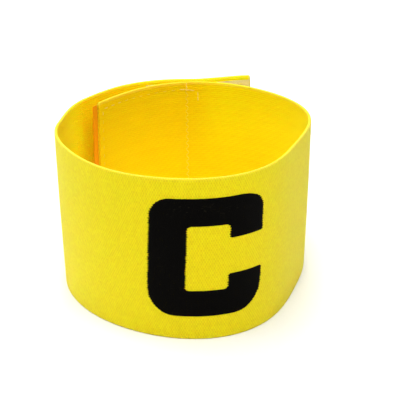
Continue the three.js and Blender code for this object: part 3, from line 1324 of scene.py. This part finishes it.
@dataclass
class ClosureTape:
    """One half of the closure: a woven tape across the strip, with a bed of fine filaments on it."""

    band: Webbing
    name: str
    face: Face
    start: float
    length: float
    width: float
    ground: float
    plain_edge: float
    pitch_along: float
    pitch_up: float
    filament: Filament
    jitter: float
    seed: int
    fine: float = 0.4 * MM
    step: float = 2.4 * MM
    lines_up: int = 61
    rim_pull: float = 0.35
    rim_reach: float = 0.5 * MM
    growth: tuple[float, float] = (0.88, 1.08)
    scatter: float = 0.06
    rooted: float = 0.8

    def _bed(self) -> tuple[float, float, float, float]:
        """The bed of filaments: its start and end along the strip and up it."""
        low = (self.band.winding.width - self.width) / 2
        margin = self.pitch_up
        return (
            self.start + self.plain_edge,
            self.start + self.length - self.plain_edge,
            low + margin,
            low + self.width - margin,
        )

    def _turned(self, points: np.ndarray) -> np.ndarray:
        """Seat points that face outwards from height 0 on the tape's own face of the webbing."""
        seat = self.band.winding.thickness / 2
        if self.face is Face.OUTER:
            return points + (0, 0, seat)
        middle = self.band.winding.width / 2
        return np.column_stack([points[:, 0], 2 * middle - points[:, 1], -points[:, 2] - seat])

    def build_ground(self) -> Piece:
        """Weave and wind the tape's ground.

        Returns:
            The tape, with its rim rounded and pulled down by its stitches.
        """
        low = (self.band.winding.width - self.width) / 2
        end = self.start + self.length
        columns = graded(self.start, end, self.band.seam_places(), self.fine, self.step)
        rows = np.linspace(low, low + self.width, self.lines_up)
        tape = flat_grid(self.name + "_tape", columns, rows)
        Bench.modify(tape, "SOLIDIFY", thickness=self.ground, offset=1, use_even_offset=False)
        points = points_of(tape)
        lowest = points[:, 2].min()
        top = points[:, 2] > lowest + self.ground / 2
        points[:, 2] -= lowest
        along, up = points[:, 0], points[:, 1]
        inset = np.minimum.reduce([along - self.start, end - along, up - low, low + self.width - up])
        points[top, 2] -= self.rim_pull * self.ground * bell(inset[top], self.rim_reach)
        set_points(tape, self._turned(points))
        Bench.smooth(tape)
        return self.band.winding.wind(tape)

    def build_bed(self) -> Piece:
        """Stand the filaments on the tape, in rows, each a little out of line.

        Returns:
            All the filaments as one piece.
        """
        left, right, low, high = self._bed()
        counts = (int((right - left) / self.pitch_along) + 1, int((high - low) / self.pitch_up) + 1)
        bed = self.filament.build(self.name + "_bed")
        own = len(bed.data.vertices)
        steps = (Vector((self.pitch_along, 0, 0)), Vector((0, self.pitch_up, 0)))
        for count, step in zip(counts, steps):
            Bench.modify(
                bed,
                "ARRAY",
                count=count,
                use_relative_offset=False,
                use_constant_offset=True,
                constant_offset_displace=step,
            )
        points = points_of(bed).reshape(-1, own, 3)
        draw = np.random.default_rng(self.seed)
        number = np.arange(len(points))
        feet = np.column_stack([number % counts[0] * steps[0].x, number // counts[0] * steps[1].y])
        points[:, :, :2] -= feet[:, None]
        turn = draw.normal(0, self.jitter, len(points))
        grown = draw.uniform(*self.growth, len(points))
        cos, sin = np.cos(turn)[:, None], np.sin(turn)[:, None]
        x, y = points[:, :, 0].copy(), points[:, :, 1].copy()
        points[:, :, 0], points[:, :, 1] = x * cos - y * sin, x * sin + y * cos
        points[:, :, 2] *= grown[:, None]
        feet[:, 0] += left + (number // counts[0] % 2) * self.pitch_along / 2
        feet[:, 1] += low
        feet += draw.normal(0, self.scatter, feet.shape) * (self.pitch_along, self.pitch_up)
        points[:, :, :2] += feet[:, None]
        points[:, :, 2] += self.rooted * self.ground
        set_points(bed, self._turned(points.reshape(-1, 3)))
        return self.band.winding.wind(bed)


@dataclass
class Sewing:
    """The thread that holds the two tapes, on both faces of the webbing."""

    band: Webbing
    thread: float = 0.18 * MM
    straight_pitch: float = 3.9 * MM
    zigzag_pitch: float = 1.5 * MM
    zigzag_width: float = 1.3 * MM
    zigzag_shown: float = 0.98
    zigzag_past: float = 2 * MM
    fastening: tuple[Tack, ...] = (
        Tack(42.3, 0.3, 48.6, -0.5, 2.1),
        Tack(45.2, 0.3, 45.2, 3.1, 1.4),
        Tack(50.1, -5.2, 50.1, -1.2, 2.0),
    )
    fastening_shown: float = 0.95
    askew: float = 0.05
    bow: float = 0.12
    highest_bow: float = 0.2 * MM

    def seams(self, from_end: Callable[[float], float]) -> list[Seam]:
        """The rows of stitches round one tape.

        Args:
            from_end: Turns a distance from the strip's end into a place along the strip.

        Returns:
            The rows: two along the selvedges, one at the end and a zigzag one across the strip.
        """
        near, far = (from_end(at) for at in self.band.seams_along)
        low, high = self.band.seam_inset, self.band.winding.width - self.band.seam_inset
        below, above = low - self.zigzag_past, high + self.zigzag_past
        return [
            Seam((near, high), (far, high), self.straight_pitch),
            Seam((near, low), (far, low), self.straight_pitch),
            Seam((near, low), (near, high), self.straight_pitch),
            Seam((far, below), (far, above), self.zigzag_pitch, self.zigzag_shown, self.zigzag_width),
        ]

    def tacks(self, from_end: Callable[[float], float]) -> list[Seam]:
        """The short extra rows where the thread was fastened off, near the inner layer's zigzag."""
        high = self.band.winding.width - self.band.seam_inset
        return [
            Seam(
                (from_end(tack.start * MM), high + tack.start_up * MM),
                (from_end(tack.end * MM), high + tack.end_up * MM),
                tack.pitch * MM,
                self.fastening_shown,
            )
            for tack in self.fastening
        ]

    def build(self, name: str, rows: Sequence[Seam], face: Face, lift: float) -> Piece:
        """Sew rows of stitches on one face.

        Args:
            name: The piece's name.
            rows: The rows to sew.
            face: The face that they show on.
            lift: How far they lie above the pressed webbing.

        Returns:
            All the stitches as one piece.
        """
        sewn = Bench.join(name, [stitch for row in rows for stitch in self._row(row)])
        points = points_of(sewn)
        seat = self.band.winding.thickness / 2 - self.band.pressed
        points[:, 2] = face.value * (points[:, 2] + seat + lift)
        set_points(sewn, points)
        Bench.face_outwards(sewn)
        Bench.smooth(sewn, math.radians(80))
        return self.band.winding.wind(sewn)

    def _row(self, row: Seam) -> list[Piece]:
        """Model one stitch and copy it along a row, each copy a little askew."""
        start, way = Vector(row.start), Vector(row.end) - Vector(row.start)
        count = max(1, round(way.length / row.pitch))
        ahead = way.normalized()
        aside = Vector((-ahead.y, ahead.x)) * row.zigzag / 2
        model = self._stitch(math.hypot(way.length / count, row.zigzag) * row.shown)
        stitches = []
        for i in range(count):
            first, last = (start + way * (i + k) / count + aside * (-1) ** (i + k) for k in (0, 1))
            middle, run = (first + last) / 2, last - first
            angle = math.atan2(run.y, run.x) + self.askew * math.sin(7.3 * i + start.x / MM)
            stitch = model.copy()
            stitch.data = model.data.copy()
            place = Matrix.Translation((middle.x, middle.y, 0))
            stitch.data.transform(place @ Matrix.Rotation(angle, 4, "Z"))
            bpy.context.collection.objects.link(stitch)
            stitches.append(stitch)
        bpy.data.objects.remove(model)
        return stitches

    def _stitch(self, reach: float) -> Piece:
        """Model one stitch: a bowed length of thread that dips into the cloth at both ends."""
        bow = min(self.highest_bow, self.bow * reach)
        bend = reach**2 / (8 * bow) + bow / 2
        half = math.degrees(math.asin(min(1, reach / 2 / bend)))
        wire = Filament(self.thread, sides=6, bend=bend, start_angle=-half, turn=2 * half, steps=6, taper=0.6)
        return wire.build("stitch")


@dataclass
class PhotoCamera:
    """The camera of the reference view, about the band's own middle."""

    elevation: float = 25.0
    distance: float = 403.547 * MM
    lens: float = 88.93
    sensor: float = 36.0
    pan: float = 0.7231
    tilt: float = -0.0431
    roll: float = -0.0072

    def build(self, winding: Winding) -> bpy.types.Object:
        """Set the camera up.

        Args:
            winding: The winding, whose middle the camera looks at.

        Returns:
            The camera.
        """
        raised = math.radians(self.elevation)
        middle = Vector((winding.shift[0], winding.shift[1], winding.width / 2))
        level, aim = Vector((1, 0, 0)), Vector((0, math.cos(raised), -math.sin(raised)))
        upright = level.cross(aim)
        aimed = (aim + math.radians(self.pan) * level + math.radians(self.tilt) * upright).normalized()
        side = aimed.cross(Vector((0, 0, 1))).normalized()
        top = side.cross(aimed)
        across = math.cos(self.roll) * side + math.sin(self.roll) * top
        top = math.cos(self.roll) * top - math.sin(self.roll) * side
        data = bpy.data.cameras.new("photo_camera")
        data.sensor_width, data.lens = self.sensor, self.lens
        camera = bpy.data.objects.new("photo_camera", data)
        bpy.context.collection.objects.link(camera)
        turned = Matrix((across, top, -aimed)).transposed().to_4x4()
        camera.matrix_world = Matrix.Translation(middle - aim * self.distance) @ turned
        bpy.context.scene.camera = camera
        return camera


class Lamp(NamedTuple):
    """One soft lamp: its bearing from the front, its elevation and its power."""

    name: str
    bearing: float
    elevation: float
    power: float


@dataclass
class Studio:
    """A pale floor, a dim surround and soft lamps all round, the strongest from above."""

    floor_size: float = 6.0
    floor_tone: tuple = srgb(246, 246, 246)
    floor_roughness: float = 0.9
    surround: float = 0.02
    reach: float = 1.2
    spread: float = 0.7
    lamps: tuple[Lamp, ...] = (
        Lamp("front", 0, 55, 5.4),
        Lamp("top", 0, 88, 9.4),
        Lamp("left", -85, 30, 2.6),
        Lamp("back_left", -130, 45, 4.2),
        Lamp("front_right", 60, 55, 2.45),
        Lamp("back", 180, 35, 6.5),
    )

    def build(self, middle: Vector) -> None:
        """Lay the floor, light the surround and hang the lamps round a point."""
        bpy.ops.mesh.primitive_plane_add(size=self.floor_size)
        floor = Bench.added("floor")
        material = bpy.data.materials.new("pale_floor")
        material.use_nodes = True
        shader = material.node_tree.nodes["Principled BSDF"]
        shader.inputs["Base Color"].default_value = self.floor_tone
        shader.inputs["Roughness"].default_value = self.floor_roughness
        floor.data.materials.append(material)
        world = bpy.data.worlds.new("surround")
        world.use_nodes = True
        background = world.node_tree.nodes["Background"]
        background.inputs["Color"].default_value = (1, 1, 1, 1)
        background.inputs["Strength"].default_value = self.surround
        scene = bpy.context.scene
        scene.world = world
        scene.view_settings.view_transform = "Standard"
        for lamp in self.lamps:
            self._hang(lamp, middle)

    def _hang(self, lamp: Lamp, middle: Vector) -> None:
        """Hang one lamp, turned towards a point."""
        bearing, raised = math.radians(lamp.bearing), math.radians(lamp.elevation)
        level = Vector((math.sin(bearing), -math.cos(bearing), 0))
        away = level * math.cos(raised) + Vector((0, 0, math.sin(raised)))
        data = bpy.data.lights.new(lamp.name, "AREA")
        data.shape, data.size, data.energy = "DISK", self.spread, lamp.power
        light = bpy.data.objects.new(lamp.name, data)
        bpy.context.collection.objects.link(light)
        light.location = middle + away * self.reach
        light.rotation_euler = away.to_track_quat("Z", "Y").to_euler()


@dataclass
class Armband:
    """The whole armband: its webbing, letter, closure and sewing."""

    winding: Winding
    tape_length: float = 46 * MM
    loop_width: float = 62.6 * MM
    loop_ground: float = 0.3 * MM
    # How far the loop tape runs past the inner end: the orange sliver that shows there is a painted shadow.
    loop_overhang_as_shadow: float = 2.5 * MM
    hook_width: float = 61 * MM
    hook_ground: float = 0.35 * MM
    hook_inset: float = 0.4 * MM
    thread_sunk: float = 0.13 * MM

    def build(self) -> list[Piece]:
        """Build and dress every piece.

        Returns:
            The pieces, the webbing first.
        """
        band = Webbing(self.winding)
        webbing, yarn = band.build(), WebbingFinish()
        self._place(webbing, yarn, yarn.material(band), "band")
        letter, ink = PrintedLetter(band), PrintFinish()
        printed = letter.build()
        self._place(printed, ink, ink.material(band, letter), "letter_c")
        pieces = [webbing, printed, *self._closure(band), *self._sewing(band)]
        return pieces

    def _place(self, piece: Piece, finish: Finish, material: bpy.types.Material, *nodes: str) -> None:
        """Dress a piece, let it ride on the body and stand for its nodes.

        Args:
            piece: The piece.
            finish: Its finish.
            material: The material of that finish.
            *nodes: The frame's nodes that it stands for.
        """
        finish.dress(piece, material)
        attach(piece, "root")
        if nodes:
            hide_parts(*nodes)
        piece.data.calc_loop_triangles()
        LOG.info("%s: %d triangles", piece.name, len(piece.data.loop_triangles))

    def _loops(self, band: Webbing) -> ClosureTape:
        """The soft tape, on the outer face of the inner end; it runs past that end, where its deep orange
        ground is a painted shadow.
        """
        return ClosureTape(
            band=band,
            name="loop",
            face=Face.OUTER,
            start=self.winding.length + self.loop_overhang_as_shadow - self.tape_length,
            length=self.tape_length,
            width=self.loop_width,
            ground=self.loop_ground,
            plain_edge=3.2 * MM,
            pitch_along=1.0 * MM,
            pitch_up=1.0 * MM,
            filament=Filament(0.055 * MM, sides=3, bend=0.3 * MM, start_angle=-115, turn=230, steps=6),
            jitter=1.2,
            seed=11,
        )

    def _hooks(self, band: Webbing) -> ClosureTape:
        """The hooked tape, on the inner face of the flap."""
        return ClosureTape(
            band=band,
            name="hook",
            face=Face.INNER,
            start=self.hook_inset,
            length=self.tape_length,
            width=self.hook_width,
            ground=self.hook_ground,
            plain_edge=1.3 * MM,
            pitch_along=1.5 * MM,
            pitch_up=1.25 * MM,
            filament=Filament(
                0.09 * MM, sides=4, bend=0.17 * MM, start_angle=-90, turn=205, steps=5, stem=0.45 * MM
            ),
            jitter=0.25,
            seed=12,
        )

    def _closure(self, band: Webbing) -> list[Piece]:
        """Build the two tapes of the closure."""
        # Painted shadow: the loop tape's deep orange ground, where it shows past the inner end, stands for the
        # shadow beside the end's edge.
        woven = TapeFinish(
            "loop_tape",
            "loop_pile",
            0.9,
            gloss=0.05,
            sheen=0.05,
            yarn=srgb(251, 170, 1),
            shade=srgb(240, 146, 1),
        )
        pile = TapeFinish(
            "loop_pile",
            "loop_pile",
            0.95,
            gloss=0.05,
            sheen=0.3,
            yarn=srgb(246, 196, 20),
            shade=srgb(232, 170, 8),
        )
        tape = TapeFinish(
            "hook_tape",
            "hook_tape",
            0.7,
            gloss=0.3,
            sheen=0.1,
            yarn=srgb(254, 234, 168),
            shade=srgb(244, 213, 138),
            through=0.3,
        )
        nylon = TapeFinish(
            "hook_nylon",
            "hook_tape",
            0.4,
            gloss=0.4,
            sheen=0.0,
            yarn=srgb(255, 238, 176),
            shade=srgb(248, 220, 150),
            through=0.6,
        )
        halves = (
            (self._loops(band), woven, pile, "loop_patch"),
            (self._hooks(band), tape, nylon, "hook_patch"),
        )
        made = []
        for half, ground_finish, bed_finish, node in halves:
            ground, bed = half.build_ground(), half.build_bed()
            self._place(ground, ground_finish, ground_finish.material(), node)
            self._place(bed, bed_finish, bed_finish.material())
            made += [ground, bed]
        return made

    def _sewing(self, band: Webbing) -> list[Piece]:
        """Sew both tapes down, and fasten the thread off."""
        sewing, length = Sewing(band), self.winding.length
        inner_rows = sewing.seams(lambda at: length - at)
        flap_rows = sewing.seams(lambda at: at)
        tacks = sewing.tacks(lambda at: length - at)
        beige = ThreadFinish()
        dyed = ThreadFinish("dyed_thread", thread=srgb(254, 226, 104), fades=0.95)
        rows = (
            ("fastening_stitches", beige, tacks, Face.INNER, 0.0),
            ("flap_stitches", beige, flap_rows, Face.OUTER, 0.0),
            ("hook_tape_stitches", beige, flap_rows, Face.INNER, self.hook_ground),
            ("inner_end_stitches", dyed, inner_rows, Face.INNER, -self.thread_sunk),
            ("loop_tape_stitches", dyed, inner_rows, Face.OUTER, self.loop_ground),
        )
        materials = {finish.name: finish.material(self.winding) for finish in (beige, dyed)}
        made = []
        for name, finish, seams, face, lift in rows:
            stitches = sewing.build(name, seams, face, lift)
            self._place(stitches, finish, materials[finish.name])
            made.append(stitches)
        return made


def main() -> None:
    """Build the scene round the frame."""
    logging.basicConfig(level=logging.INFO, format="%(message)s")
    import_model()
    winding = Winding()
    PhotoCamera().build(winding)
    Armband(winding).build()
    Studio().build(Vector((winding.shift[0], winding.shift[1], winding.width / 2)))


if __name__ == "__main__":
    main()
